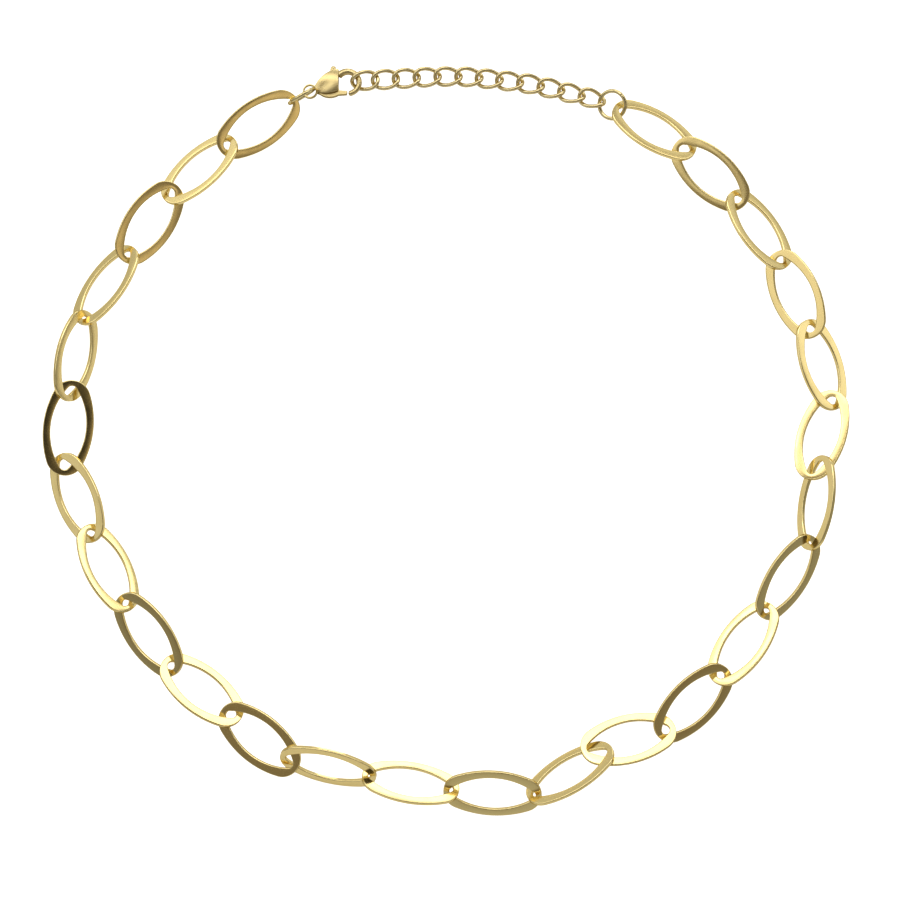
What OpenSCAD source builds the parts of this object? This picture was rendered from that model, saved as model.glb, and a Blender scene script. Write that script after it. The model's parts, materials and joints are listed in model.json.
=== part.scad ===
// Hoop necklace of big flat oval links with a short curb-link extension, a jump ring at each
// end of the big links, and a lobster clasp. It lies closed in a ring on a flat surface, z = 0.
// Every link leans to one side or the other, so that each passes over one flank of its
// neighbour and under the other.

/* [Big links] */
// Outside length of a big link
link_length = 18.7; // [18.6:0.02:18.74]
// Outside width of a big link
link_width = 9.74; // [9.7:0.02:9.78]
// Width of the flat band at a link's ends
end_band = 1.15; // [1:0.01:1.2]
// Width of the flat band at a link's flanks
flank_band = 1.47; // [1.3:0.01:1.5]
// Thickness of the flat band
band_thickness = 0.8; // [0.6:0.05:0.85]

/* [Extension] */
// Half the length of a curb link, along the middle of its wire
curb_half_length = 2.6; // [2.58:0.01:2.62]
// Half the width of a curb link, along the middle of its wire
curb_half_width = 1.75; // [1.7:0.01:1.8]
// How far a curb link's wire rises and dips as it goes round
curb_twist = 0.6; // [0.58:0.01:0.62]
// Thickness of the wire of the curb links and jump rings
wire = 0.8; // [0.7:0.02:0.82]
// Radius of a jump ring, along the middle of its wire
ring_radius = 2.75; // [2.73:0.01:2.77]

/* [Clasp] */
// Thickness of the clasp's domed body at its middle
clasp_thickness = 3.0; // [2.8:0.1:3]
// Thickness of the hook's round arm
hook_wire = 1.15; // [1:0.05:1.15]
// Thickness of the lever between the two cheeks of the body
lever_thickness = 1.0; // [0.8:0.05:1]
// Radius of the pin that the lever turns on
pin_radius = 0.4; // [0.35:0.01:0.42]

/* [Hidden] */

// Middle of the loop as it lies, which becomes the origin
loop_middle = [0.17, 1.96, 0];

// Big links, from the clasp round to the extension. heading: direction of the link's length,
// anticlockwise from +X. lean: tilt about its length, positive with the outer flank up.
// pitch: tilt of its leading end up. lift: height above the surface where neighbours carry it.
//    x      y     heading lean pitch lift
LINKS = [
    [-37.5, 63.7, -145, 24, -2, 0.2],
    [-49.1, 54.5, -136, -23, 0, 0],
    [-58.8, 43.5, -123, 24, 0, 0],
    [-67.0, 30.7, -122, -29, 3, 0],
    [-72.3, 16.2, -101, 52, 7, 0.1],
    [-73.5, 2.0, -96, 14, -8, 1.3],
    [-71.5, -11.6, -66, -27, 2, 0],
    [-65.2, -25.3, -63, 31, -1, 0],
    [-57.1, -38.1, -53, -27, 0, 0],
    [-46.7, -48.7, -38, 24, -2, 0],
    [-35.5, -58.0, -38, -18, 6, 0.7],
    [-22.3, -63.1, -13, -53, -1, 0],
    [-6.7, -66.2, -9, 39, -4, 0],
    [8.8, -68.1, -3, -33, 1, 0],
    [23.5, -64.4, 31, 44, 1, 0],
    [34.7, -58.0, 14, 19, -3, 0.5],
    [47.2, -51.1, 44, -22, 2, 0],
    [57.0, -39.8, 54, 28, 1, 0],
    [65.8, -27.1, 56, -35, 3, 0],
    [71.5, -12.8, 81, 57, 2, 0],
    [73.2, 0.7, 72, 23, -4, 0.5],
    [73.6, 14.8, 105, -23, 1, 0],
    [68.9, 28.9, 112, 26, 0, 0],
    [62.0, 42.1, 123, -25, 0, 0],
    [52.6, 53.5, 136, 25, -1, 0],
    [41.6, 62.6, 148, -20, 0, 0.2]
];

// Curb links, from the clasp's hook to the end ring. roll: tilt about the link's length,
// positive with the outer flank up. pitch: tilt of its leading end up.
//    x      y     z    heading roll pitch
CURBS = [
    [-16.3, 73.2, 1.5, 6, 27, -1],
    [-12.2, 73.5, 1.3, 6, 16, -3],
    [-8.0, 73.8, 1.1, 5, 8, -2],
    [-3.8, 74.1, 1.0, 4, 2, -1],
    [0.4, 74.2, 1.0, 0, 0, 0],
    [4.6, 74.1, 1.0, -4, 0, 0],
    [8.7, 73.7, 1.0, -5, 0, 0],
    [12.8, 73.2, 1.0, -7, 0, 0],
    [17.0, 72.6, 1.0, -10, 0, 0],
    [21.1, 71.7, 1.0, -13, -1, 1],
    [25.2, 70.6, 1.1, -16, -5, 1],
    [29.3, 69.5, 1.2, -19, -8, 1]
];

// Jump rings, in the same columns as the curb links
CLASP_RING = [-28.9, 69.4, 3.07, 31, 104, 2];
END_RING = [33.3, 68.0, 1.9, -18, 27, 18];

// Sides of the right triangles that give the outline's outer and inner edges their curves:
// across to the end arc's centre, across to the flank arc's centre, and the long side
OUTER_TRIANGLE = [5, 12, 13];
INNER_TRIANGLE = [3, 4, 5];

// The clasp, seen from above, has its eye at the origin and its hook towards +X
clasp_place = [-27.3, 70.9, clasp_thickness / 2];
clasp_heading = 12;
eye_radius = 1.5;
eye_hole = 1.15;
eye_height = 0.7;
// The body is a pear between two round edges, cut off straight where the claw opens
hook_side_arc = [6.7, -3.85];
hook_side_radius = 7.2;
gate_side_arc = [4.2, 3.9];
gate_side_radius = 5.3;
claw_edge = 5.7;
dome_middle = [4.2, 0.5];
dome_radius = 7.5;
// The hook's arm is an arc that starts in the body and ends in front of the gate
hook_middle = [7.7, 0.3];
hook_radius = 2.35;
hook_tip_angle = -96;
hook_sweep = 226;
// The lever turns about the pin, from the nub through the body to the gate. Its heel is cut
// from a disc and bulges out between the cheeks, and the gate's tip just passes the hook's tip
pivot = [4.0, -0.3];
hub_radius = 1.0;
bore_radius = pin_radius + 0.06;
heel_middle = [4.3, 1.1];
heel_radius = 3.25;
heel_box = [[1.65, -4], [5.8, 0.2]];
nub_angle = 69;
nub_radius = 0.55;
nub_reach = 4.3;
gate_outline = [[4.9, -0.9], [7.3, -1.52], [7.3, -2.25], [5.0, -1.9]];
gate_tip_reach = 3.6;
// The slot for the lever leaves solid metal beside the eye and at the foot of the hook
lever_play = 0.1;
slot_box = [[1.5, -4], [6.6, 6]];
eye_side_metal = [[0, 0.75], [3.0, 6]];
hook_side_metal = [nub_radius + 0.15, 1.9];

curb_steps = 16;
wire_sides = 6;
gold = [0.83, 0.7, 0.4];

// Half-plane size, larger than any piece it trims
BIG = 20;

// An oval outline of four arcs that meet smoothly: [end centre, end radius, flank centre,
// flank radius, place along the length where they meet]
function oval(half_length, half_width, triangle) =
    let (
        unit = (half_length - half_width) / (triangle[0] + triangle[1] - triangle[2]),
        end_r = half_width - unit * (triangle[2] - triangle[1]),
        flank_r = end_r + unit * triangle[2]
    )
    [
        unit * triangle[0],
        end_r,
        unit * triangle[1],
        flank_r,
        flank_r * triangle[0] / triangle[2]
    ];

outer_oval = oval(link_length / 2, link_width / 2, OUTER_TRIANGLE);
inner_oval = oval(link_length / 2 - end_band, link_width / 2 - flank_band, INNER_TRIANGLE);

// How far the outer oval reaches below its centre, where its plane falls by [along, across]
function reach(o, fall) =
    let (along = abs(fall[0]), across = abs(fall[1]), size = norm(fall))
    across * o[0] > along * o[2] ? o[3] * size - o[2] * across : o[0] * along + o[1] * size;

// Height of a leaning link's centre when it rests on the surface
function rest_height(lean, pitch) =
    reach(outer_oval, [sin(pitch), cos(pitch) * sin(lean)])
    + band_thickness / 2 * cos(pitch) * cos(lean);

// Middle of a curb link's wire at an angle round the link, and the direction it runs in
function curb_point(a) =
    [curb_half_length * cos(a), curb_half_width * sin(a), -curb_twist * sin(2 * a)];
function curb_run(a) =
    [-curb_half_length * sin(a), curb_half_width * cos(a), -2 * curb_twist * cos(2 * a)];
function unit(v) = v / norm(v);

module oval_outline(o, half_width) {
    intersection() {
        translate([0, -o[2]]) circle(r = o[3], $fn = 240);
        translate([0, o[2]]) circle(r = o[3], $fn = 240);
        square([2 * o[4], 2 * half_width], center = true);
    }
    for (side = [-1, 1])
        intersection() {
            translate([side * o[0], 0]) circle(r = o[1], $fn = 96);
            translate([side * (o[4] + BIG / 2), 0]) square(BIG, center = true);
        }
}

module big_link(row) {
    lean = row[3];
    pitch = row[4];
    height = rest_height(lean, pitch) + row[5];
    color(gold)
        translate([row[0], row[1], height] - loop_middle)
            rotate([0, 0, row[2]])
                rotate([0, -pitch, 0])
                    rotate([-lean, 0, 0])
                        linear_extrude(height = band_thickness, center = true)
                            difference() {
                                oval_outline(outer_oval, link_width / 2);
                                oval_outline(inner_oval, link_width / 2 - flank_band);
                            }
}

module lay(row) {
    translate([row[0], row[1], row[2]] - loop_middle)
        rotate([0, 0, row[3]])
            rotate([0, -row[5], 0])
                rotate([row[4], 0, 0])
                    children();
}

module curb_link(row) {
    points = [
        for (i = [0 : curb_steps - 1])
            let (
                a = 360 * i / curb_steps,
                run = unit(curb_run(a)),
                side = unit(cross(run, [0, 0, 1])),
                top = cross(side, run)
            )
            for (k = [0 : wire_sides - 1])
                let (turn = 360 * k / wire_sides)
                curb_point(a) + wire / 2 * (cos(turn) * side + sin(turn) * top)
    ];
    faces = [
        for (i = [0 : curb_steps - 1], k = [0 : wire_sides - 1], half = [0, 1])
            let (
                here = i * wire_sides,
                next = ((i + 1) % curb_steps) * wire_sides,
                k2 = (k + 1) % wire_sides
            )
            half == 0 ? [here + k, next + k, next + k2] : [here + k, next + k2, here + k2]
    ];
    color(gold) lay(row) polyhedron(points, faces);
}

module jump_ring(row) {
    color(gold)
        lay(row)
            rotate_extrude($fn = 72)
                translate([ring_radius, 0]) circle(d = wire, $fn = 24);
}

module place_clasp() {
    translate(clasp_place - loop_middle) rotate([0, 0, clasp_heading]) children();
}

module pear_outline() {
    intersection() {
        translate(hook_side_arc) circle(r = hook_side_radius, $fn = 180);
        translate(gate_side_arc) circle(r = gate_side_radius, $fn = 180);
        rotate(-clasp_heading) translate([claw_edge - BIG, -BIG / 2]) square(BIG);
    }
}

module box_outline(corners) {
    translate(corners[0]) square(corners[1] - corners[0]);
}

module slot_outline() {
    difference() {
        box_outline(slot_box);
        box_outline(eye_side_metal);
        translate(pivot) rotate(nub_angle - 90) translate(hook_side_metal) square(5);
    }
}

module clasp_body() {
    dome_drop = dome_radius - clasp_thickness / 2;
    slot_height = lever_thickness + 2 * lever_play;
    color(gold) place_clasp() {
        difference() {
            union() {
                intersection() {
                    linear_extrude(height = clasp_thickness, center = true) pear_outline();
                    translate([dome_middle[0], dome_middle[1], -dome_drop])
                        sphere(r = dome_radius, $fn = 120);
                    translate([dome_middle[0], dome_middle[1], dome_drop])
                        sphere(r = dome_radius, $fn = 120);
                }
                cylinder(r = eye_radius, h = eye_height, center = true, $fn = 64);
                translate(hook_middle)
                    rotate([0, 0, hook_tip_angle])
                        rotate_extrude(angle = hook_sweep, $fn = 96)
                            translate([hook_radius, 0]) circle(d = hook_wire, $fn = 32);
            }
            cylinder(r = eye_hole, h = clasp_thickness, center = true, $fn = 64);
            linear_extrude(height = slot_height, center = true) slot_outline();
        }
        translate(pivot)
            cylinder(r = pin_radius, h = slot_height + 0.4, center = true, $fn = 48);
    }
}

module lever_plate() {
    linear_extrude(height = lever_thickness, center = true) children();
}

module clasp_lever() {
    color(gold) place_clasp()
        difference() {
            union() {
                lever_plate()
                    intersection() {
                        translate(heel_middle) circle(r = heel_radius, $fn = 96);
                        box_outline(heel_box);
                    }
                lever_plate() translate(pivot) circle(r = hub_radius, $fn = 48);
                lever_plate()
                    translate(pivot) rotate(nub_angle - 90)
                        translate([-nub_radius, 0]) square([2 * nub_radius, nub_reach]);
                lever_plate()
                    translate(pivot) rotate(nub_angle - 90)
                        translate([0, nub_reach]) circle(r = nub_radius, $fn = 32);
                lever_plate()
                    intersection() {
                        polygon(gate_outline);
                        translate(pivot) circle(r = gate_tip_reach, $fn = 96);
                    }
            }
            translate(pivot) cylinder(r = bore_radius, h = 2, center = true, $fn = 48);
        }
}

for (i = [0 : len(LINKS) - 1])
    big_link(LINKS[i]);
for (i = [0 : len(CURBS) - 1])
    curb_link(CURBS[i]);
jump_ring(CLASP_RING);  // clasp_ring
jump_ring(END_RING);  // end_ring
clasp_body();
clasp_lever();
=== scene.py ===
# %% [markdown]
# # A gold hoop necklace
# This notebook dresses a necklace of big flat oval links. It lies closed in a ring on a pale
# table. Its 26 ovals are blanked from sheet, 12 small curb links make the extension at the back,
# two jump rings join the stretches, and a lobster clasp closes them.
#
# The construction comes first. Every piece already has its place and its size in a packed
# frame, and the frame is loaded once, here. What follows only replaces its plain solids with
# finer meshes in the same places, and gives them their metal.

import json
import math

import bmesh
import bpy
import numpy as np
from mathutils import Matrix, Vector


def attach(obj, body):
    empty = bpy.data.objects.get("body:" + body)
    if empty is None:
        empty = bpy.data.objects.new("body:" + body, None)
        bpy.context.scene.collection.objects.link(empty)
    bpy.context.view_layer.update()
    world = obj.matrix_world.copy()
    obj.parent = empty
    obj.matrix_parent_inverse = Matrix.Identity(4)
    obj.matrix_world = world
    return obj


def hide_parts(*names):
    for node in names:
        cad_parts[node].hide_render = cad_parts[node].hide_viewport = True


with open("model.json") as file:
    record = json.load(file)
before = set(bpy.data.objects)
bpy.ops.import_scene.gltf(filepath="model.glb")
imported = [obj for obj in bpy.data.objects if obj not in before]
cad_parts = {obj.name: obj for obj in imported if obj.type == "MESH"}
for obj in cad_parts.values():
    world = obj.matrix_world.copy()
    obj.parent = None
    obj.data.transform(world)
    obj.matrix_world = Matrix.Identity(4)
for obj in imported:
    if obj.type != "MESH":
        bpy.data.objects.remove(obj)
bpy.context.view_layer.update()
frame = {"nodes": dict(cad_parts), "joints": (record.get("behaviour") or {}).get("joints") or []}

# %% [markdown]
# ## Units
# Jewellery is drawn in millimetres, and Blender counts in metres. Every size below is written
# as a maker would say it, in millimetres, and is turned into metres only when a mesh is made.

# %% Millimetres
MM = 0.001


def to_metres(values):
    """A list of millimetres as metres."""
    return [value * MM for value in values]


# %% [markdown]
# ## Camera
# The photographer stood at the front edge of the ring and looked down steeply, so the ring is
# nearly a plan but the near links still show a little of their front edges. A long lens keeps
# the far links as large as the near ones. The lens is shifted by up to a hundredth of the
# frame, because the ring doesn't sit exactly in the middle of the picture.

# %% Place the camera
look_at = Vector(to_metres((-0.17, -1.96, 0)))
camera_elevation = math.radians(80.5)
camera_distance = 420 * MM
towards_camera = Vector((0, -math.cos(camera_elevation), math.sin(camera_elevation)))

camera_data = bpy.data.cameras.new("camera")
camera_data.sensor_width = 36
camera_data.lens = 85.7
camera_data.shift_x = 0.0044
camera_data.shift_y = -0.01
camera_data.clip_start = 0.01
camera_data.clip_end = 20
camera = bpy.data.objects.new("camera", camera_data)
camera.location = look_at + camera_distance * towards_camera
camera.rotation_euler = towards_camera.to_track_quat("Z", "Y").to_euler()
bpy.context.scene.collection.objects.link(camera)
bpy.context.scene.camera = camera
print("camera at", [round(value / MM, 1) for value in camera.location], "mm")

# %% [markdown]
# ## Table
# A pale matt table carries the ring. One big square is enough. In the picture the ground is
# pure white, yet the faces that look down at it mirror a paler grey. A photographer gets this
# by lighting the ground from behind and printing it up to white. Here the table glows a little
# for everything, and a little more for the view itself.

# %% Lay the table
table_half = 3.0
table_mesh = bpy.data.meshes.new("table")
table_mesh.from_pydata(
    [(x * table_half, y * table_half, 0) for x, y in ((-1, -1), (1, -1), (1, 1), (-1, 1))],
    [],
    [(0, 1, 2, 3)],
)
table = bpy.data.objects.new("table", table_mesh)
bpy.context.scene.collection.objects.link(table)
print("table is", 2 * table_half, "m wide")

# %% Paint the table
TABLE_GLOW = 0.18
GROUND_GLOW = 1.0

table_paint = bpy.data.materials.new("table_paint")
table_paint.use_nodes = True
table_nodes = table_paint.node_tree.nodes
table_shader = table_nodes["Principled BSDF"]
table_shader.inputs["Base Color"].default_value = (0.82, 0.82, 0.81, 1)
table_shader.inputs["Roughness"].default_value = 0.7
table_shader.inputs["Specular IOR Level"].default_value = 0.2
table_shader.inputs["Emission Color"].default_value = (1, 1, 1, 1)
seen = table_nodes.new("ShaderNodeLightPath")
glow = table_nodes.new("ShaderNodeMapRange")
glow.inputs["To Min"].default_value = TABLE_GLOW
glow.inputs["To Max"].default_value = GROUND_GLOW
table_paint.node_tree.links.new(seen.outputs["Is Camera Ray"], glow.inputs["Value"])
table_paint.node_tree.links.new(glow.outputs["Result"],
                                table_shader.inputs["Emission Strength"])
table_mesh.materials.append(table_paint)
print("the table glows", TABLE_GLOW, "and its picture", GROUND_GLOW)

# %% [markdown]
# ## Light
# Polished metal has no colour of its own: it shows what stands around it. A big softbox hangs
# high over the far side of the ring, and flat faces that tilt towards it flash pale yellow. A
# smaller one stands low behind it. Dimmer panels stand at the left, at the right and in the far
# corners, and three small ones hang overhead, the last of them for the clasp. Each link leans
# its own way, so each shows another panel or the dark between them. The room itself is dim: a
# little lighter along its far and near walls, and dark and warm overhead, where the camera
# hangs, so faces that tilt towards the viewer turn to bronze.

# %% Hang the softboxes
def hang_softbox(name, place, aim, size, brightness, colour):
    """An area light of a given size in mm, with its own brightness as seen by the metal."""
    data = bpy.data.lights.new(name, "AREA")
    data.shape = "RECTANGLE"
    data.size, data.size_y = to_metres(size)
    data.energy = brightness * math.pi * data.size * data.size_y
    data.color = colour
    box = bpy.data.objects.new(name, data)
    box.location = to_metres(place)
    away = box.location - Vector(to_metres(aim))
    box.rotation_euler = away.to_track_quat("Z", "Y").to_euler()
    bpy.context.scene.collection.objects.link(box)
    print(name, "hangs", round(away.length / MM), "mm from where it points")


COOL_WHITE = (1.0, 0.99, 0.97)
WARM_WHITE = (1.0, 0.84, 0.62)
hang_softbox("far_softbox", (60, 558, 648), (0, 0, 0), (1320, 300), 2.0, COOL_WHITE)
hang_softbox("low_softbox", (90, 520, 110), (0, 0, 40), (260, 160), 2.0, COOL_WHITE)
hang_softbox("left_panel", (-520, 250, 420), (0, 0, 0), (420, 340), 1.1, COOL_WHITE)
hang_softbox("west_panel", (-520, -60, 250), (0, 0, 0), (200, 170), 0.45, COOL_WHITE)
hang_softbox("back_left_panel", (-400, 520, 300), (0, 0, 0), (220, 160), 0.38, COOL_WHITE)
hang_softbox("back_right_panel", (430, 520, 320), (0, 0, 0), (420, 120), 0.28, COOL_WHITE)
hang_softbox("right_panel", (520, 190, 260), (0, 0, 0), (200, 200), 0.85, COOL_WHITE)
hang_softbox("upper_left_panel", (-290, -10, 450), (0, 0, 0), (240, 200), 0.74, COOL_WHITE)
hang_softbox("upper_right_panel", (200, -125, 450), (0, 0, 0), (150, 150), 0.55, WARM_WHITE)
hang_softbox("clasp_panel", (-70, 145, 450), (-22, 72, 0), (300, 140), 1.8, COOL_WHITE)

# %% Paint the room
room = bpy.data.worlds.new("room")
room.use_nodes = True
bpy.context.scene.world = room
room_tree = room.node_tree
direction = room_tree.nodes.new("ShaderNodeTexCoord")
split = room_tree.nodes.new("ShaderNodeSeparateXYZ")
room_tree.links.new(direction.outputs["Generated"], split.inputs[0])


def room_ramp(axis, low, high, at_low, at_high):
    """A level that changes smoothly along one axis of the room."""
    ramp = room_tree.nodes.new("ShaderNodeMapRange")
    ramp.interpolation_type = "SMOOTHSTEP"
    for key, value in zip(("From Min", "From Max", "To Min", "To Max"),
                          (low, high, at_low, at_high)):
        ramp.inputs[key].default_value = value
    room_tree.links.new(split.outputs[axis], ramp.inputs["Value"])
    return ramp.outputs["Result"]


def room_product(first, second):
    """The product of two levels of the room."""
    product = room_tree.nodes.new("ShaderNodeMath")
    product.operation = "MULTIPLY"
    room_tree.links.new(first, product.inputs[0])
    room_tree.links.new(second, product.inputs[1])
    return product.outputs[0]


WALL_WHITE = (1.0, 0.98, 0.93, 1)
CEILING_WHITE = (1.0, 0.84, 0.62, 1)
walls = room_ramp("Z", 0.1, 0.75, 0.3, 0.2)
near_side = room_ramp("Y", -0.95, -0.45, 1.7, 1.0)
far_side = room_ramp("Y", 0.25, 0.75, 1.0, 2.0)
overhead = room_ramp("Z", 0.85, 0.98, 1.0, 0.12)
height_tint = room_tree.nodes.new("ShaderNodeMix")
height_tint.data_type = "RGBA"
height_tint.inputs[6].default_value = WALL_WHITE
height_tint.inputs[7].default_value = CEILING_WHITE
room_tree.links.new(room_ramp("Z", 0.45, 0.8, 0.0, 1.0), height_tint.inputs["Factor"])
room_level = room_product(room_product(room_product(walls, near_side), far_side), overhead)
background = room_tree.nodes["Background"]
room_tree.links.new(height_tint.outputs[2], background.inputs["Color"])
room_tree.links.new(room_level, background.inputs["Strength"])
bpy.context.scene.view_settings.view_transform = "Standard"
print("the room is", len(room_tree.nodes), "nodes of soft grey")

# %% [markdown]
# ## The finishes: coordinates first
# Brushing, scratches and rubbed edges follow each piece, not the table. So every mesh below
# stores two things on its points: `own_place`, where the point is in the piece's own
# millimetres, and `edge`, which is 1 on a rounded edge and 0 on a face. The finishes read
# these two and nothing else, and so they stay put whichever way the piece turns.

# %% Make a mesh from a piece's own points
pieces = {}


def add_piece(name, points, faces, pose, edge, grain_shift=(0, 0, 0)):
    """A piece from points in its own millimetres, put where pose says, in metres."""
    points = np.asarray(points, float)
    middle, turn = pose
    mesh = bpy.data.meshes.new(name)
    mesh.from_pydata((points @ turn.T * MM + middle).tolist(), [], faces)
    mesh.validate()
    place = mesh.attributes.new("own_place", "FLOAT_VECTOR", "POINT")
    place.data.foreach_set("vector", (points + grain_shift).astype(np.float32).ravel())
    rounding = mesh.attributes.new("edge", "FLOAT", "POINT")
    rounding.data.foreach_set("value", np.asarray(edge, np.float32))
    mesh.shade_smooth()
    piece = bpy.data.objects.new(name, mesh)
    bpy.context.scene.collection.objects.link(piece)
    pieces[name] = piece
    return piece


def seat(piece, node, body, material):
    """The piece stands for a node of the frame, rides on its body and wears a finish."""
    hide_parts(node)
    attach(piece, body)
    piece.data.materials.append(material)


# %% [markdown]
# ## Where a link lies
# A link's solid in the frame says where it is, but only through its points. Its middle is its
# centre of mass. Its three directions are the ones along which it is longest, next longest and
# thinnest, and they fall out of the solid's moments, summed over the wedges between its
# triangles and its middle. All three kinds of link look the same after a half turn about any
# of these directions, so it doesn't matter which end comes first. A jump ring is as wide as it
# is long, so its long direction is simply the one that points most nearly up.

# %% Measure a solid
AS_WIDE_AS_LONG = 0.98


def solid_corners(node):
    """The corners of a node's triangles, as an array of triangles by corners by xyz."""
    mesh = frame["nodes"][node].data
    mesh.calc_loop_triangles()
    points = np.array([vertex.co for vertex in mesh.vertices])
    return points[np.array([triangle.vertices for triangle in mesh.loop_triangles])]


def wedge_volumes(corners):
    """The signed volume of the wedge from the origin to each triangle."""
    return np.einsum("ij,ij->i", corners[:, 0], np.cross(corners[:, 1], corners[:, 2])) / 6


def own_pose(node, up=Vector((0, 0, 1))):
    """A node's middle in metres, and its long, wide and thin directions as columns."""
    corners = solid_corners(node)
    start = corners.mean((0, 1))
    corners = corners - start
    volumes = wedge_volumes(corners)
    shift = (volumes[:, None] * corners.sum(1) / 4).sum(0) / volumes.sum()
    corners = corners - shift
    volumes = wedge_volumes(corners)
    total = corners.sum(1)
    moments = np.einsum("n,nki,nkj->ij", volumes, corners, corners)
    moments += np.einsum("n,ni,nj->ij", volumes, total, total)
    spread, turn = np.linalg.eigh(moments)
    thin, wide, long = turn.T
    if thin @ np.array(up) < 0:
        thin = -thin
    if spread[1] > AS_WIDE_AS_LONG * spread[2]:
        long = np.array(up) - thin * (thin @ np.array(up))
        long /= np.linalg.norm(long)
    wide = np.cross(thin, long)
    return start + shift, np.column_stack((long, wide, thin))


def own_size(node):
    """How long, wide and thick a node is in its own directions, in millimetres."""
    middle, turn = own_pose(node)
    places = (solid_corners(node).reshape(-1, 3) - middle) @ turn
    return np.ptp(places, axis=0) / MM


print("link_01 measures", own_size("link_01").round(2), "mm")

# %% [markdown]
# ## Metal
# The necklace is stainless steel with a thin gold-coloured coat. It is one metal all through,
# so one function makes all four finishes, each with its own values. Four effects are shared:
# the fine lines of the brushing belt, hairline scratches from wear, edges that rub bright, and
# a faint haze from handling. Each is a node group of its own with named sockets.

# %% A helper for node groups
def new_group(name, inputs, outputs):
    """A shader node group with float inputs (name: value), vector inputs (name: None)."""
    group = bpy.data.node_groups.new(name, "ShaderNodeTree")
    for socket_name, value in inputs.items():
        kind = "NodeSocketVector" if value is None else "NodeSocketFloat"
        socket = group.interface.new_socket(socket_name, in_out="INPUT", socket_type=kind)
        if value is not None:
            socket.default_value = value
    for socket_name in outputs:
        group.interface.new_socket(socket_name, in_out="OUTPUT", socket_type="NodeSocketFloat")
    return group, group.nodes.new("NodeGroupInput"), group.nodes.new("NodeGroupOutput")


def node_in(tree, kind, settings=(), **values):
    """A new node with its settings and the values of its input sockets."""
    node = tree.nodes.new("ShaderNode" + kind)
    for key, value in dict(settings).items():
        setattr(node, key, value)
    for key, value in values.items():
        node.inputs[key.replace("_", " ")].default_value = value
    return node


def wire(tree, start, end):
    """A link from one socket to another."""
    tree.links.new(start, end)


def calculate(tree, operation, first, second):
    """The result of a Math node on two sockets or numbers."""
    node = node_in(tree, "Math", {"operation": operation})
    for socket, value in zip(node.inputs, (first, second)):
        if isinstance(value, (int, float)):
            socket.default_value = value
        else:
            wire(tree, value, socket)
    return node.outputs[0]


def remap(tree, value, low, high, to_low=0.0, to_high=1.0):
    """A socket's range from low to high, spread smoothly over another range."""
    node = node_in(tree, "MapRange", {"interpolation_type": "SMOOTHSTEP"})
    wire(tree, value, node.inputs["Value"])
    for key, number in zip(("From Min", "From Max", "To Min", "To Max"),
                           (low, high, to_low, to_high)):
        node.inputs[key].default_value = number
    return node.outputs["Result"]


# %% [markdown]
# ### Brushed lines
# Sheet is brushed on a belt before the links are stamped, which leaves fine parallel lines. A
# noise that is stretched sixtyfold along the piece makes such lines, and costs much less than
# drawing them.

# %% Group: brushed lines
def make_brushed_lines():
    inputs = {"Place": None, "Line Length": 4.0, "Line Gap": 0.05}
    group, given, result = new_group("brushed_lines", inputs, ["Height", "Streaks"])
    stretch = node_in(group, "CombineXYZ")
    along = calculate(group, "DIVIDE", 1.0, given.outputs["Line Length"])
    across = calculate(group, "DIVIDE", 1.0, given.outputs["Line Gap"])
    wire(group, along, stretch.inputs["X"])
    wire(group, across, stretch.inputs["Y"])
    wire(group, across, stretch.inputs["Z"])
    scaled = node_in(group, "VectorMath", {"operation": "MULTIPLY"})
    wire(group, given.outputs["Place"], scaled.inputs[0])
    wire(group, stretch.outputs[0], scaled.inputs[1])
    lines = node_in(group, "TexNoise", Scale=1.0, Detail=3.0, Roughness=0.6)
    wire(group, scaled.outputs[0], lines.inputs["Vector"])
    wire(group, lines.outputs["Fac"], result.inputs["Height"])
    wire(group, remap(group, lines.outputs["Fac"], 0.38, 0.62), result.inputs["Streaks"])
    return group


brushed_lines = make_brushed_lines()
print("group brushed_lines has", len(brushed_lines.nodes), "nodes")

# %% [markdown]
# ### Hairline scratches
# Links rub on one another all day, and that leaves sparse hairlines that run mostly one way.
# Where a stretched noise passes through its middle value it draws long thin curves. A second,
# coarser noise keeps only some stretches of them.

# %% Group: hairline scratches
def make_hairlines():
    inputs = {"Place": None, "Spacing": 0.8, "Thinness": 0.02, "Amount": 0.5}
    group, given, result = new_group("hairlines", inputs, ["Scratches"])
    turned = node_in(group, "VectorRotate", {"rotation_type": "EULER_XYZ"})
    turned.inputs["Rotation"].default_value = (0.5, 0.4, 0.65)
    wire(group, given.outputs["Place"], turned.inputs["Vector"])
    squeezed = node_in(group, "VectorMath", {"operation": "MULTIPLY"})
    squeezed.inputs[1].default_value = (0.12, 1.0, 1.0)
    wire(group, turned.outputs[0], squeezed.inputs[0])
    spaced = node_in(group, "VectorMath", {"operation": "SCALE"})
    wire(group, squeezed.outputs[0], spaced.inputs[0])
    wire(group, calculate(group, "DIVIDE", 1.0, given.outputs["Spacing"]),
         spaced.inputs["Scale"])
    curves = node_in(group, "TexNoise", Scale=1.0, Detail=1.5, Roughness=0.5)
    wire(group, spaced.outputs[0], curves.inputs["Vector"])
    middle = calculate(group, "SUBTRACT", curves.outputs["Fac"], 0.5)
    distance = calculate(group, "ABSOLUTE", middle, 0.0)
    depth = calculate(group, "DIVIDE", distance, given.outputs["Thinness"])
    hair = calculate(group, "SUBTRACT", 1.0, calculate(group, "MINIMUM", depth, 1.0))
    patches = node_in(group, "TexNoise", Scale=0.9, Detail=1.0)
    wire(group, given.outputs["Place"], patches.inputs["Vector"])
    kept = remap(group, patches.outputs["Fac"], 0.45, 0.6)
    some = calculate(group, "MULTIPLY", hair, kept)
    wire(group, calculate(group, "MULTIPLY", some, given.outputs["Amount"]),
         result.inputs["Scratches"])
    return group


hairlines = make_hairlines()
print("group hairlines has", len(hairlines.nodes), "nodes")

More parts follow.
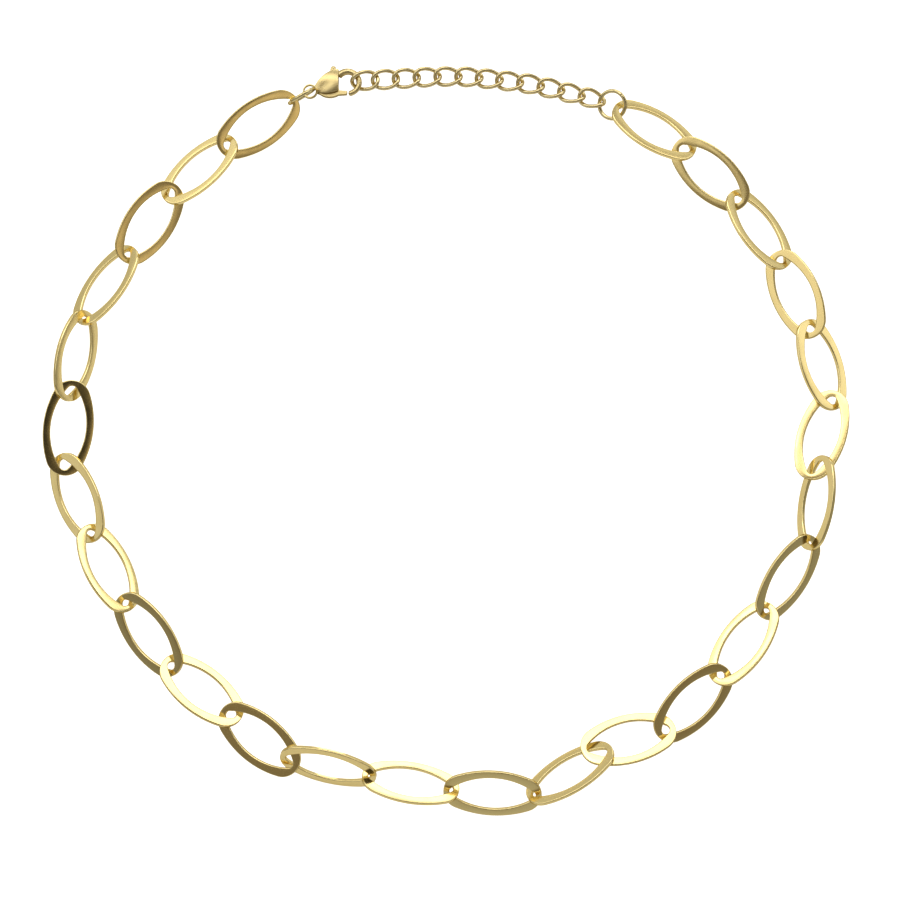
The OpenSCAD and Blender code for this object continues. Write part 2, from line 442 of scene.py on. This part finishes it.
# %% [markdown]
# ### Rubbed edges
# Tumbling and wear brighten whatever stands proud, which is the rounded edges. The mesh knows
# where they are, so this effect only breaks the mask up, so that it looks rubbed by hand and
# not drawn with a ruler.

# %% Group: rubbed edges
def make_rubbed_edges():
    inputs = {"Place": None, "Edge": 0.0, "Patch Size": 1.5, "Break Up": 0.5}
    group, given, result = new_group("rubbed_edges", inputs, ["Rubbed"])
    spaced = node_in(group, "VectorMath", {"operation": "SCALE"})
    wire(group, given.outputs["Place"], spaced.inputs[0])
    wire(group, calculate(group, "DIVIDE", 1.0, given.outputs["Patch Size"]),
         spaced.inputs["Scale"])
    patches = node_in(group, "TexNoise", Scale=1.0, Detail=3.0, Roughness=0.6)
    wire(group, spaced.outputs[0], patches.inputs["Vector"])
    broken = calculate(group, "MULTIPLY", patches.outputs["Fac"], given.outputs["Break Up"])
    kept = calculate(group, "SUBTRACT", 1.0, broken)
    wire(group, calculate(group, "MULTIPLY", given.outputs["Edge"], kept),
         result.inputs["Rubbed"])
    return group


rubbed_edges = make_rubbed_edges()
print("group rubbed_edges has", len(rubbed_edges.nodes), "nodes")

# %% [markdown]
# ### Handling haze
# Fingers leave a film that is thicker in some places, and the coat itself varies a little in
# tone. Both are soft cloudy patches a few millimetres across.

# %% Group: handling haze
def make_handling_haze():
    group, given, result = new_group("handling_haze", {"Place": None, "Patch Size": 4.0},
                                     ["Haze"])
    spaced = node_in(group, "VectorMath", {"operation": "SCALE"})
    wire(group, given.outputs["Place"], spaced.inputs[0])
    wire(group, calculate(group, "DIVIDE", 1.0, given.outputs["Patch Size"]),
         spaced.inputs["Scale"])
    clouds = node_in(group, "TexNoise", Scale=1.0, Detail=4.0, Roughness=0.55)
    wire(group, spaced.outputs[0], clouds.inputs["Vector"])
    wire(group, remap(group, clouds.outputs["Fac"], 0.3, 0.7), result.inputs["Haze"])
    return group


handling_haze = make_handling_haze()
print("group handling_haze has", len(handling_haze.nodes), "nodes")

# %% [markdown]
# ### One coat, four finishes
# The metal's colour is a pale yellow gold. The haze draws it towards a deeper tone and the
# rubbed edges towards a lighter one. Roughness starts from the finish's own value, goes up in
# the haze and down on the rubbed edges. Lines and scratches are a height of a few thousandths
# of a millimetre, so they only break up the reflections. The curb wire, the jump rings and the
# clasp are darker copies of the same gold, a painted shade, so each finish has a tone that its
# colours are multiplied by.

# %% Mix the gold finishes
LINE_STRETCH = 60
GOLD = (0.92, 0.75, 0.34, 1)
DEEP_GOLD = (0.89, 0.71, 0.3, 1)
BRIGHT_GOLD = (0.95, 0.82, 0.43, 1)
RIM_GOLD = (0.5, 0.43, 0.27, 1)


def place_group(tree, group, **values):
    """One of the shared groups in a material, with its own values."""
    node = tree.nodes.new("ShaderNodeGroup")
    node.node_tree = group
    for key, value in values.items():
        node.inputs[key.replace("_", " ")].default_value = value
    return node


def blend_colour(tree, mask, first, second):
    """A mix of two colours by a mask. Each is a colour or a socket."""
    mix = node_in(tree, "Mix", {"data_type": "RGBA"})
    wire(tree, mask, mix.inputs["Factor"])
    for socket, colour in ((mix.inputs[6], first), (mix.inputs[7], second)):
        if isinstance(colour, tuple):
            socket.default_value = colour
        else:
            wire(tree, colour, socket)
    return mix.outputs[2]


def gold_finish(name, roughness, line_gap, line_depth, scratch_amount, tone=(1, 1, 1)):
    """The gold coat with a finish of its own, and a tone of painted shade that darkens its colours.
    """
    gold, deep_gold, bright_gold = (
        tuple(part * share for part, share in zip(colour, (*tone, 1)))
        for colour in (GOLD, DEEP_GOLD, BRIGHT_GOLD)
    )
    material = bpy.data.materials.new(name)
    material.use_nodes = True
    tree = material.node_tree
    shader = tree.nodes["Principled BSDF"]
    shader.inputs["Metallic"].default_value = 1.0
    shader.inputs["Specular Tint"].default_value = RIM_GOLD
    place = node_in(tree, "Attribute", {"attribute_name": "own_place"})
    edge = node_in(tree, "Attribute", {"attribute_name": "edge"})
    lines = place_group(tree, brushed_lines, Line_Gap=line_gap, Line_Length=LINE_STRETCH * line_gap)
    hairs = place_group(tree, hairlines, Amount=scratch_amount)
    rubbed = place_group(tree, rubbed_edges)
    haze = place_group(tree, handling_haze)
    for group in (lines, hairs, rubbed, haze):
        wire(tree, place.outputs["Vector"], group.inputs["Place"])
    wire(tree, edge.outputs["Fac"], rubbed.inputs["Edge"])

    thin_haze = calculate(tree, "MULTIPLY", haze.outputs["Haze"], 0.5)
    toned = blend_colour(tree, thin_haze, gold, deep_gold)
    colour = blend_colour(tree, rubbed.outputs["Rubbed"], toned, bright_gold)
    wire(tree, colour, shader.inputs["Base Color"])

    gloss = remap(tree, haze.outputs["Haze"], 0, 1, roughness - 0.02, roughness + 0.03)
    streaked = calculate(tree, "MULTIPLY_ADD", lines.outputs["Streaks"], 0.03)
    wire(tree, gloss, streaked.node.inputs[2])
    polished = calculate(tree, "MULTIPLY", rubbed.outputs["Rubbed"], 0.05)
    wire(tree, calculate(tree, "SUBTRACT", streaked, polished), shader.inputs["Roughness"])

    scratched = calculate(tree, "MULTIPLY", hairs.outputs["Scratches"], -1.0)
    grained = calculate(tree, "MULTIPLY_ADD", lines.outputs["Height"], line_depth)
    wire(tree, scratched, grained.node.inputs[2])
    off_edges = calculate(tree, "SUBTRACT", 1.0, edge.outputs["Fac"])
    relief = calculate(tree, "MULTIPLY", grained, off_edges)
    bump = node_in(tree, "Bump", Strength=0.35, Distance=0.000002)
    wire(tree, relief, bump.inputs["Height"])
    wire(tree, bump.outputs["Normal"], shader.inputs["Normal"])
    return material


# Painted shade: these tones darken the one gold on the curb wire, the jump rings and the clasp.
CURB_PAINTED_SHADE = (0.83, 0.84, 0.96)
RING_PAINTED_SHADE = (0.82, 0.84, 0.93)
CLASP_PAINTED_SHADE = (0.76, 0.75, 0.79)
satin_band = gold_finish("satin_gold_band", 0.14, 0.05, 1.0, 0.3)
drawn_wire = gold_finish("drawn_gold_wire", 0.17, 0.08, 0.3, 0.3, CURB_PAINTED_SHADE)
polished_wire = gold_finish("polished_gold_ring", 0.14, 0.1, 0.3, 0.3, RING_PAINTED_SHADE)
cast_gold = gold_finish("cast_gold_clasp", 0.27, 0.15, 0.3, 0.3, CLASP_PAINTED_SHADE)
print("made", len(bpy.data.materials) - 1, "finishes")

# %% [markdown]
# ## The big oval links
# A big link is one flat closed oval, blanked from 0.8 mm sheet and tumbled until its edges are
# round. A torus is the wrong start, because the band is wider along the flanks than at the
# ends. Instead, the inner and the outer outline are each drawn with four arcs, as on a drawing
# board, and a line half-way between them leads a rounded section round the oval. At each step
# the section is stretched until it just touches both outlines. Each oval starts from a right
# triangle of whole numbers, which joins its arcs without a kink.

# %% Draw an oval with four arcs
def four_arc_oval(half_length, half_width, triangle):
    """An oval's end centre, end radius, flank centre, flank radius."""
    across_end, across_flank, long_side = triangle
    unit = (half_length - half_width) / (across_end + across_flank - long_side)
    end_radius = half_width - unit * (long_side - across_flank)
    return unit * across_end, end_radius, unit * across_flank, end_radius + unit * long_side


def outside_by(oval, points):
    """How far each point lies outside an oval, negative inside it."""
    end_x, end_radius, flank_y, flank_radius = oval
    folded = np.abs(points)
    by_end = folded[:, 0] * flank_y > end_x * (folded[:, 1] + flank_y)
    to_end = np.hypot(folded[:, 0] - end_x, folded[:, 1]) - end_radius
    to_flank = np.hypot(folded[:, 0], folded[:, 1] + flank_y) - flank_radius
    return np.where(by_end, to_end, to_flank)


link_length, link_width, band_thickness = own_size("link_01")
end_band = 1.15
flank_band = 1.47
outer_oval = four_arc_oval(link_length / 2, link_width / 2, (5, 12, 13))
inner_oval = four_arc_oval(link_length / 2 - end_band, link_width / 2 - flank_band, (3, 4, 5))
print("outer arcs have radii", round(outer_oval[1], 2), "and", round(outer_oval[3], 2), "mm")

# %% Lead a line between the two outlines
END_STEPS = 40
FLANK_STEPS = 56
OUTLINE_ROUNDS = 12
middle_oval = four_arc_oval(
    (link_length - end_band) / 2, (link_width - flank_band) / 2, (8, 15, 17)
)


def middle_line():
    """Points half-way between the outlines, and the outward direction at each."""
    end_x, end_radius, flank_y, flank_radius = middle_oval
    meet = math.atan2(flank_y, end_x)
    arcs = (
        ((end_x, 0), end_radius, -meet, meet, END_STEPS),
        ((0, -flank_y), flank_radius, meet, math.pi - meet, FLANK_STEPS),
        ((-end_x, 0), end_radius, math.pi - meet, math.pi + meet, END_STEPS),
        ((0, flank_y), flank_radius, math.pi + meet, 2 * math.pi - meet, FLANK_STEPS),
    )
    points, outward = [], []
    for centre, radius, start, stop, steps in arcs:
        for angle in np.linspace(start, stop, steps, endpoint=False):
            away = np.array((math.cos(angle), math.sin(angle)))
            points.append(centre + radius * away)
            outward.append(away)
    return np.array(points), np.array(outward)


def reach_outline(oval, points, directions):
    """How far each point has to go in its direction to meet an oval."""
    travelled = np.zeros(len(points))
    for _ in range(OUTLINE_ROUNDS):
        travelled -= outside_by(oval, points + directions * travelled[:, None])
    return travelled


line, outward = middle_line()
to_outer = reach_outline(outer_oval, line, outward)
to_inner = reach_outline(inner_oval, line, outward)
band_widths = to_outer - to_inner
print("the band is", band_widths.min().round(2), "to", band_widths.max().round(2), "mm wide")

# %% Round the band's section
corner_radius = 0.16
crown = 0.02
CORNER_TURNS = np.linspace(0, math.pi / 2, 5)
FACE_SHARES = np.array((0.04, 0.27, 0.5, 0.73, 0.96))


def band_section(width):
    """The section's points across the band and through it, and how much each is an edge."""
    half = band_thickness / 2
    straight = width - 2 * corner_radius
    across, height, edge = [], [], []
    for turn in range(4):
        at_outer = turn in (1, 2)
        above = turn >= 2
        for angle in CORNER_TURNS + math.pi * (1 + turn / 2):
            across.append((width if at_outer else 0)
                          + corner_radius * (math.cos(angle) + (-1 if at_outer else 1)))
            height.append((1 if above else -1) * (half - crown - corner_radius)
                          + corner_radius * math.sin(angle))
            edge.append(math.sin(2 * angle) ** 2)
        if turn in (0, 2):
            for share in FACE_SHARES if turn == 0 else FACE_SHARES[::-1]:
                across.append(corner_radius + straight * share)
                arch = crown * (1 - (2 * share - 1) ** 2)
                height.append((1 if above else -1) * (half - crown + arch))
                edge.append(0.0)
        else:
            across.append(width if turn == 1 else 0.0)
            height.append(0.0)
            edge.append(0.0)
    return np.array(across), np.array(height), np.array(edge)


print("the section has", len(band_section(flank_band)[0]), "points")

# %% Sweep a closed ring
def closed_ring(rows):
    """Faces that join rows of points, each row to the next and the last to the first."""
    steps, sides = rows.shape[:2]
    faces = []
    for step in range(steps):
        here, there = step * sides, (step + 1) % steps * sides
        for side in range(sides):
            beside = (side + 1) % sides
            faces.append((here + side, there + side, there + beside, here + beside))
    return rows.reshape(-1, 3), faces


def oval_band():
    """The points, faces and edge values of one big link."""
    rows, edges = [], []
    for point, away, start, width in zip(line, outward, to_inner, band_widths):
        across, height, edge = band_section(width)
        flat = point + away * (start + across)[:, None]
        rows.append(np.column_stack((flat, height)))
        edges.append(edge)
    points, faces = closed_ring(np.array(rows))
    return points, faces, np.concatenate(edges)


band_points, band_faces, band_edges = oval_band()
print("a big link has", 2 * len(band_faces), "triangles")

# %% Put the 26 links in their places
GRAIN_STEP = np.array((37.0, 11.0, 5.0))
big_links = sorted(name for name in frame["nodes"] if name.startswith("link_"))
for number, node in enumerate(big_links):
    link = add_piece("oval_" + node, band_points, band_faces, own_pose(node), band_edges,
                     number * GRAIN_STEP)
    seat(link, node, "necklace", satin_band)
print("placed", len(big_links), "big links")

# %% [markdown]
# ## The curb links
# The extension is a curb chain of 0.8 mm round wire. A curb link is an oval of wire that is
# twisted a little after it is closed, so the links lie flat beside each other. Swept along a
# curve, the wire keeps its round section through the twist. Half-way along one flank the ends
# of the wire were welded, and a shallow groove is left there. Drawn wire has no corners that
# could rub bright, so it counts as a worn edge by a third all over, and by more at the weld.

# %% Twist a curb link
wire_radius = 0.4
curb_half_length = 2.6
curb_half_width = 1.75
curb_twist = 0.6
WIRE_SIDES = 18
CURB_STEPS = 96
weld_groove = 0.07
weld_width = 0.09
WIRE_WEAR = 0.3


def wire_circle(points, runs, radii, up=(0, 0, 1)):
    """Rows of points round a line of points, square to the direction it runs in."""
    runs = runs / np.linalg.norm(runs, axis=1)[:, None]
    side = np.cross(runs, up)
    side /= np.linalg.norm(side, axis=1)[:, None]
    top = np.cross(side, runs)
    turns = np.linspace(0, 2 * math.pi, WIRE_SIDES, endpoint=False)
    round_side = np.cos(turns)[None, :, None] * side[:, None]
    round_top = np.sin(turns)[None, :, None] * top[:, None]
    return points[:, None] + np.asarray(radii)[:, None, None] * (round_side + round_top)


def curb_wire():
    """The points, faces and edge values of one curb link."""
    weld_steps = weld_width / curb_half_length * np.array((-1, -0.45, 0, 0.45, 1))
    turns = np.concatenate((
        np.linspace(0, math.pi / 2, CURB_STEPS // 4, endpoint=False)[:-1],
        math.pi / 2 + weld_steps,
        np.linspace(math.pi / 2, 2 * math.pi, 3 * CURB_STEPS // 4, endpoint=False)[2:],
    ))
    path = np.column_stack((
        curb_half_length * np.cos(turns),
        curb_half_width * np.sin(turns),
        -curb_twist * np.sin(2 * turns),
    ))
    runs = np.column_stack((
        -curb_half_length * np.sin(turns),
        curb_half_width * np.cos(turns),
        -2 * curb_twist * np.cos(2 * turns),
    ))
    from_weld = np.abs(turns - math.pi / 2) * curb_half_length / weld_width
    groove = weld_groove * np.clip(1 - from_weld, 0, 1)
    points, faces = closed_ring(wire_circle(path, runs, wire_radius * (1 - groove)))
    return points, faces, np.repeat(WIRE_WEAR + 4 * groove, WIRE_SIDES)


curb_points, curb_faces, curb_edges = curb_wire()
curb_links = sorted(name for name in frame["nodes"] if name.startswith("curb_"))
for number, node in enumerate(curb_links):
    link = add_piece("twisted_" + node, curb_points, curb_faces, own_pose(node), curb_edges,
                     number * GRAIN_STEP)
    seat(link, node, "necklace", drawn_wire)
print("placed", len(curb_links), "curb links of", 2 * len(curb_faces), "triangles each")

# %% [markdown]
# ## The jump rings
# A jump ring is one turn of the same wire, sawn through and pressed shut. The saw leaves a
# hair-thin gap between two flat ends whose rims are slightly rounded. So the ring is swept as
# an open turn and closed with a flat cap at each end.

# %% Close a jump ring but for its saw cut
ring_radius = 2.75
saw_cut = 0.05
rim_round = 0.04
RING_STEPS = 112


def jump_ring():
    """The points, faces and edge values of one jump ring, with its cut on the long side."""
    gap = saw_cut / 2 / ring_radius
    rim = rim_round / ring_radius
    turns = np.concatenate(((gap,), np.linspace(gap + rim, 2 * math.pi - gap - rim, RING_STEPS),
                            (2 * math.pi - gap,)))
    path = ring_radius * np.column_stack((np.cos(turns), np.sin(turns), 0 * turns))
    runs = np.column_stack((-np.sin(turns), np.cos(turns), 0 * turns))
    radii = np.full(len(turns), wire_radius)
    radii[[0, -1]] = wire_radius - rim_round
    rows = wire_circle(path, runs, radii)
    points, faces = closed_ring(rows)
    faces = faces[:-WIRE_SIDES]
    last = len(points) - WIRE_SIDES
    faces.append(tuple(range(WIRE_SIDES)))
    faces.append(tuple(range(last + WIRE_SIDES - 1, last - 1, -1)))
    edge = np.full(len(turns), WIRE_WEAR)
    edge[[0, 1, -2, -1]] = 1.0
    return points, faces, np.repeat(edge, WIRE_SIDES)


ring_points, ring_faces, ring_edges = jump_ring()
for number, node in enumerate(("clasp_ring", "end_ring")):
    ring = add_piece("round_" + node, ring_points, ring_faces, own_pose(node), ring_edges,
                     number * GRAIN_STEP)
    seat(ring, node, "necklace", polished_wire)
print("placed 2 jump rings of", 2 * len(ring_faces), "triangles each")

# %% [markdown]
# ## The clasp's drawing
# A lobster clasp is cast in one piece: an eye for the jump ring, two domed cheeks and a hook.
# The lever sits in a slot between the cheeks and turns on a pin. The pin is where the frame's
# hinge is, and every other place is measured from the eye, with x towards the hook.

# %% Find the clasp in the frame
hinge = next(joint for joint in frame["joints"] if joint["name"] == "lever_hinge")
pin_place = (4.0, -0.3, 0.0)
clasp_heading = math.radians(12)
clasp_turn = np.array((
    (math.cos(clasp_heading), -math.sin(clasp_heading), 0),
    (math.sin(clasp_heading), math.cos(clasp_heading), 0),
    (0, 0, 1),
))
clasp_eye = np.array(hinge["pos_m"]) - clasp_turn @ np.array(pin_place) * MM
clasp_pose = (clasp_eye, clasp_turn)
print("the clasp's eye is at", (clasp_eye / MM).round(2), "mm")

# %% [markdown]
# ## Carving tools
# A casting starts as a wax that is built up and cut away, and the mesh is made in the same
# order: simple solids are joined, kept where they meet, or cut out of one another. Working in
# millimetres keeps the cuts exact.

# %% Simple solids
def wax(name, build):
    """An object in millimetres from a mesh-building step."""
    shape = bmesh.new()
    build(shape)
    bmesh.ops.recalc_face_normals(shape, faces=shape.faces)
    mesh = bpy.data.meshes.new(name)
    shape.to_mesh(mesh)
    shape.free()
    solid = bpy.data.objects.new(name, mesh)
    bpy.context.scene.collection.objects.link(solid)
    return solid


def block(outline, low, high):
    """A flat-topped solid between two heights, from its outline's corners."""
    def build(shape):
        floor = [shape.verts.new((x, y, low)) for x, y in outline]
        roof = [shape.verts.new((x, y, high)) for x, y in outline]
        shape.faces.new(floor)
        shape.faces.new(roof)
        for a in range(len(outline)):
            b = (a + 1) % len(outline)
            shape.faces.new((floor[a], floor[b], roof[b], roof[a]))
    return wax("block", build)


def box_corners(low, high):
    """The corners of a box outline from two opposite ones."""
    return ((low[0], low[1]), (high[0], low[1]), (high[0], high[1]), (low[0], high[1]))


def disc(middle, radius, low, high, steps=160):
    """A round flat-topped solid."""
    turns = [2 * math.pi * step / steps for step in range(steps)]
    return block([(middle[0] + radius * math.cos(turn), middle[1] + radius * math.sin(turn))
                  for turn in turns], low, high)


def ball(middle, radius, steps=128):
    """A ball at a place in three dimensions."""
    def build(shape):
        bmesh.ops.create_uvsphere(shape, u_segments=steps, v_segments=steps // 2,
                                  radius=radius)
        bmesh.ops.translate(shape, vec=middle, verts=shape.verts)
    return wax("ball", build)


# %% Join, cut and settle
def settle(solid):
    """Turn a solid's modifiers into its mesh."""
    graph = bpy.context.evaluated_depsgraph_get()
    mesh = bpy.data.meshes.new_from_object(solid.evaluated_get(graph))
    solid.modifiers.clear()
    solid.data = mesh
    return solid


def work(solid, how, *tools):
    """One solid after UNION, DIFFERENCE or INTERSECT with each of the tools."""
    for tool in tools:
        modifier = solid.modifiers.new("work", "BOOLEAN")
        modifier.operation = how
        modifier.solver = "EXACT"
        modifier.object = tool
        settle(solid)
        bpy.data.objects.remove(tool)
    return solid


def cast(solid, grain, passes):
    """The solid as it comes from the mould: an even skin with softened corners."""
    skin = solid.modifiers.new("skin", "REMESH")
    skin.mode = "VOXEL"
    skin.voxel_size = grain
    soften = solid.modifiers.new("soften", "SMOOTH")
    soften.factor = 0.5
    soften.iterations = passes
    return settle(solid)


# %% Find the corners that stand proud
PROUD_GAIN = 12


def proudness(mesh, grain):
    """1 on a mesh's raised corners and 0 on its flats and hollows."""
    points = np.empty(len(mesh.vertices) * 3)
    mesh.vertices.foreach_get("co", points)
    points = points.reshape(-1, 3)
    normals = np.empty(len(points) * 3)
    mesh.vertex_normals.foreach_get("vector", normals)
    pairs = np.empty(len(mesh.edges) * 2, int)
    mesh.edges.foreach_get("vertices", pairs)
    pairs = pairs.reshape(-1, 2)
    total, count = np.zeros_like(points), np.zeros(len(points))
    for start, stop in (pairs.T, pairs.T[::-1]):
        np.add.at(total, start, points[stop])
        np.add.at(count, start, 1)
    sunk = points - total / count[:, None]
    raised = (sunk * normals.reshape(-1, 3)).sum(1) / grain
    return points, np.clip(raised * PROUD_GAIN, 0, 1)


def add_casting(name, solid, grain):
    """A piece from a finished casting."""
    points, edge = proudness(solid.data, grain)
    faces = [tuple(face.vertices) for face in solid.data.polygons]
    bpy.data.objects.remove(solid)
    return add_piece(name, points, faces, clasp_pose, edge)


# %% [markdown]
# ## The clasp's body
# From above the cheeks are a pear between two arcs, cut off straight where the claw opens. From
# the side they are a lens, which two big balls give. The eye and the hook are joined on, and
# then the slot for the lever and the eye's hole are cut. The hook's arm leaves the body thick
# and tapers to its tip.

# %% Model the cheeks and the eye
clasp_half = 1.5
hook_side_arc, hook_side_radius = (6.7, -3.85), 7.2
gate_side_arc, gate_side_radius = (4.2, 3.9), 5.3
mouth_reach = 5.7
dome_middle, dome_depth, dome_radius = (4.2, 0.5), 6.0, 7.5
slot_half = 0.6
ARC_STEPS = 256


def turned(points, angle):
    """Points in a plane, turned about its middle."""
    return [(x * math.cos(angle) - y * math.sin(angle), x * math.sin(angle) + y * math.cos(angle))
            for x, y in points]


def cheeks():
    """The pear-shaped lens that the lever sits in."""
    pear = disc(hook_side_arc, hook_side_radius, -clasp_half, clasp_half, ARC_STEPS)
    gate_side = disc(gate_side_arc, gate_side_radius, -3, 3, ARC_STEPS)
    mouth = block(turned(box_corners((-14.3, -10), (mouth_reach, 10)), -clasp_heading),
                  -clasp_half - 1, clasp_half + 1)
    work(pear, "INTERSECT", gate_side, mouth,
         ball((*dome_middle, -dome_depth), dome_radius),
         ball((*dome_middle, dome_depth), dome_radius))
    return pear


def lever_slot():
    """The room between the cheeks, which leaves solid metal by the eye and by the hook."""
    slot = block(box_corners((1.5, -4), (6.6, 6)), -slot_half, slot_half)
    by_eye = block(box_corners((0, 0.75), (3.0, 7)), -1, 1)
    by_hook = block([
        (pin_place[0] + x, pin_place[1] + y)
        for x, y in turned(box_corners((0.7, 1.9), (5.7, 6.9)), math.radians(-21))
    ], -1, 1)
    return work(slot, "DIFFERENCE", by_eye, by_hook)


print("the lens is", 2 * clasp_half, "mm thick at its middle")

# %% Bend the hook's arm
HOOK_STEPS = 60
hook_middle = (7.7, 0.3)
hook_reach = 2.93
arm_radius = 0.72
arm_taper = 0.16
tip_share = 0.035


def hook_arm():
    """The arm: a round bar on an arc that starts inside the body and thins to its tip."""
    turns = np.radians(np.linspace(130, -96, HOOK_STEPS))
    share = np.linspace(0, 1, HOOK_STEPS)
    radii = arm_radius - arm_taper * np.clip(share * 1.5, 0, 1)
    bend = hook_reach - radii
    tip = np.clip((share - (1 - tip_share)) / tip_share, 0, 1)
    radii = radii * np.sqrt(1 - 0.96 * tip ** 2)
    path = np.column_stack((
        hook_middle[0] + bend * np.cos(turns), hook_middle[1] + bend * np.sin(turns), 0 * turns
    ))
    rows = wire_circle(path, np.gradient(path, axis=0), radii)
    points, faces = closed_ring(rows)
    last = len(points) - WIRE_SIDES
    faces = faces[:-WIRE_SIDES]
    faces += [tuple(range(WIRE_SIDES)), tuple(range(last, last + WIRE_SIDES))]

    def build(shape):
        corners = [shape.verts.new(point) for point in points]
        for face in faces:
            shape.faces.new([corners[index] for index in face])
    return wax("hook", build)


print("the hook reaches", round(hook_middle[0] + hook_reach, 2), "mm from the eye")

# %% Cast the body
CAST_GRAIN = 0.06
eye_radius = 1.5
eye_hole = 1.15
eye_half = 0.35
pin_radius = 0.4

body = work(cheeks(), "UNION", disc((0, 0), eye_radius, -eye_half, eye_half), hook_arm())
work(body, "DIFFERENCE", disc((0, 0), eye_hole, -2, 2), lever_slot())
work(body, "UNION", disc(pin_place, pin_radius, -0.8, 0.8, 48))
cast(body, CAST_GRAIN, 5)
clasp_body = add_casting("cast_clasp_body", body, CAST_GRAIN)
seat(clasp_body, "clasp_body", "necklace", cast_gold)
print("the clasp's body has", len(clasp_body.data.polygons), "faces")

# %% [markdown]
# ## The lever
# The lever is one small casting too. Its heel bulges out between the cheeks, its nub stands up
# beside the hook for the thumbnail, and its gate shuts the claw. It rides on its own body of
# the frame, so it turns when the hinge turns.

# %% Cast the lever
LEVER_GRAIN = 0.05
lever_half = 0.5
nub_swing = math.radians(69)
nub_reach = 4.3
nub_radius = 0.55
hub_radius = 1.0
pin_hole = 0.46
heel_arc, heel_radius = (4.3, 1.1), 3.25
gate_outline = ((4.9, -0.9), (5.0, -1.9), (7.3, -2.25), (7.3, -1.52))
gate_reach = 3.6


def lever_wax():
    """Heel, hub, nub and gate as one solid with the pin's hole."""
    nub_top = (pin_place[0] + nub_reach * math.cos(nub_swing),
               pin_place[1] + nub_reach * math.sin(nub_swing))
    across = (nub_radius * math.sin(nub_swing), -nub_radius * math.cos(nub_swing))
    stem = block([
        (x + side * across[0], y + side * across[1])
        for (x, y), side in ((pin_place[:2], 1), (nub_top, 1), (nub_top, -1),
                             (pin_place[:2], -1))
    ], -lever_half, lever_half)
    heel = work(disc(heel_arc, heel_radius, -lever_half, lever_half), "INTERSECT",
                block(box_corners((1.65, -4), (5.8, 0.2)), -1, 1))
    gate = work(block(gate_outline, -lever_half, lever_half),
                "INTERSECT", disc(pin_place, gate_reach, -1, 1))
    hub = disc(pin_place, hub_radius, -lever_half, lever_half, 64)
    work(heel, "UNION", hub, stem, ball((*nub_top, 0), nub_radius, 48), gate)
    return work(heel, "DIFFERENCE", disc(pin_place, pin_hole, -1, 1, 48))


lever = cast(lever_wax(), LEVER_GRAIN, 4)
clasp_lever = add_casting("cast_clasp_lever", lever, LEVER_GRAIN)
seat(clasp_lever, "clasp_lever", "lever", cast_gold)
print("the lever has", len(clasp_lever.data.polygons), "faces")

# %% [markdown]
# ## Count the triangles
# The dressed necklace has to keep the size of its construction. Only its triangles are counted
# here.

# %% Count the triangles
triangles = sum(len(face.vertices) - 2 for piece in pieces.values() for face in piece.data.polygons)
print("the necklace has", triangles, "triangles in", len(pieces), "pieces")
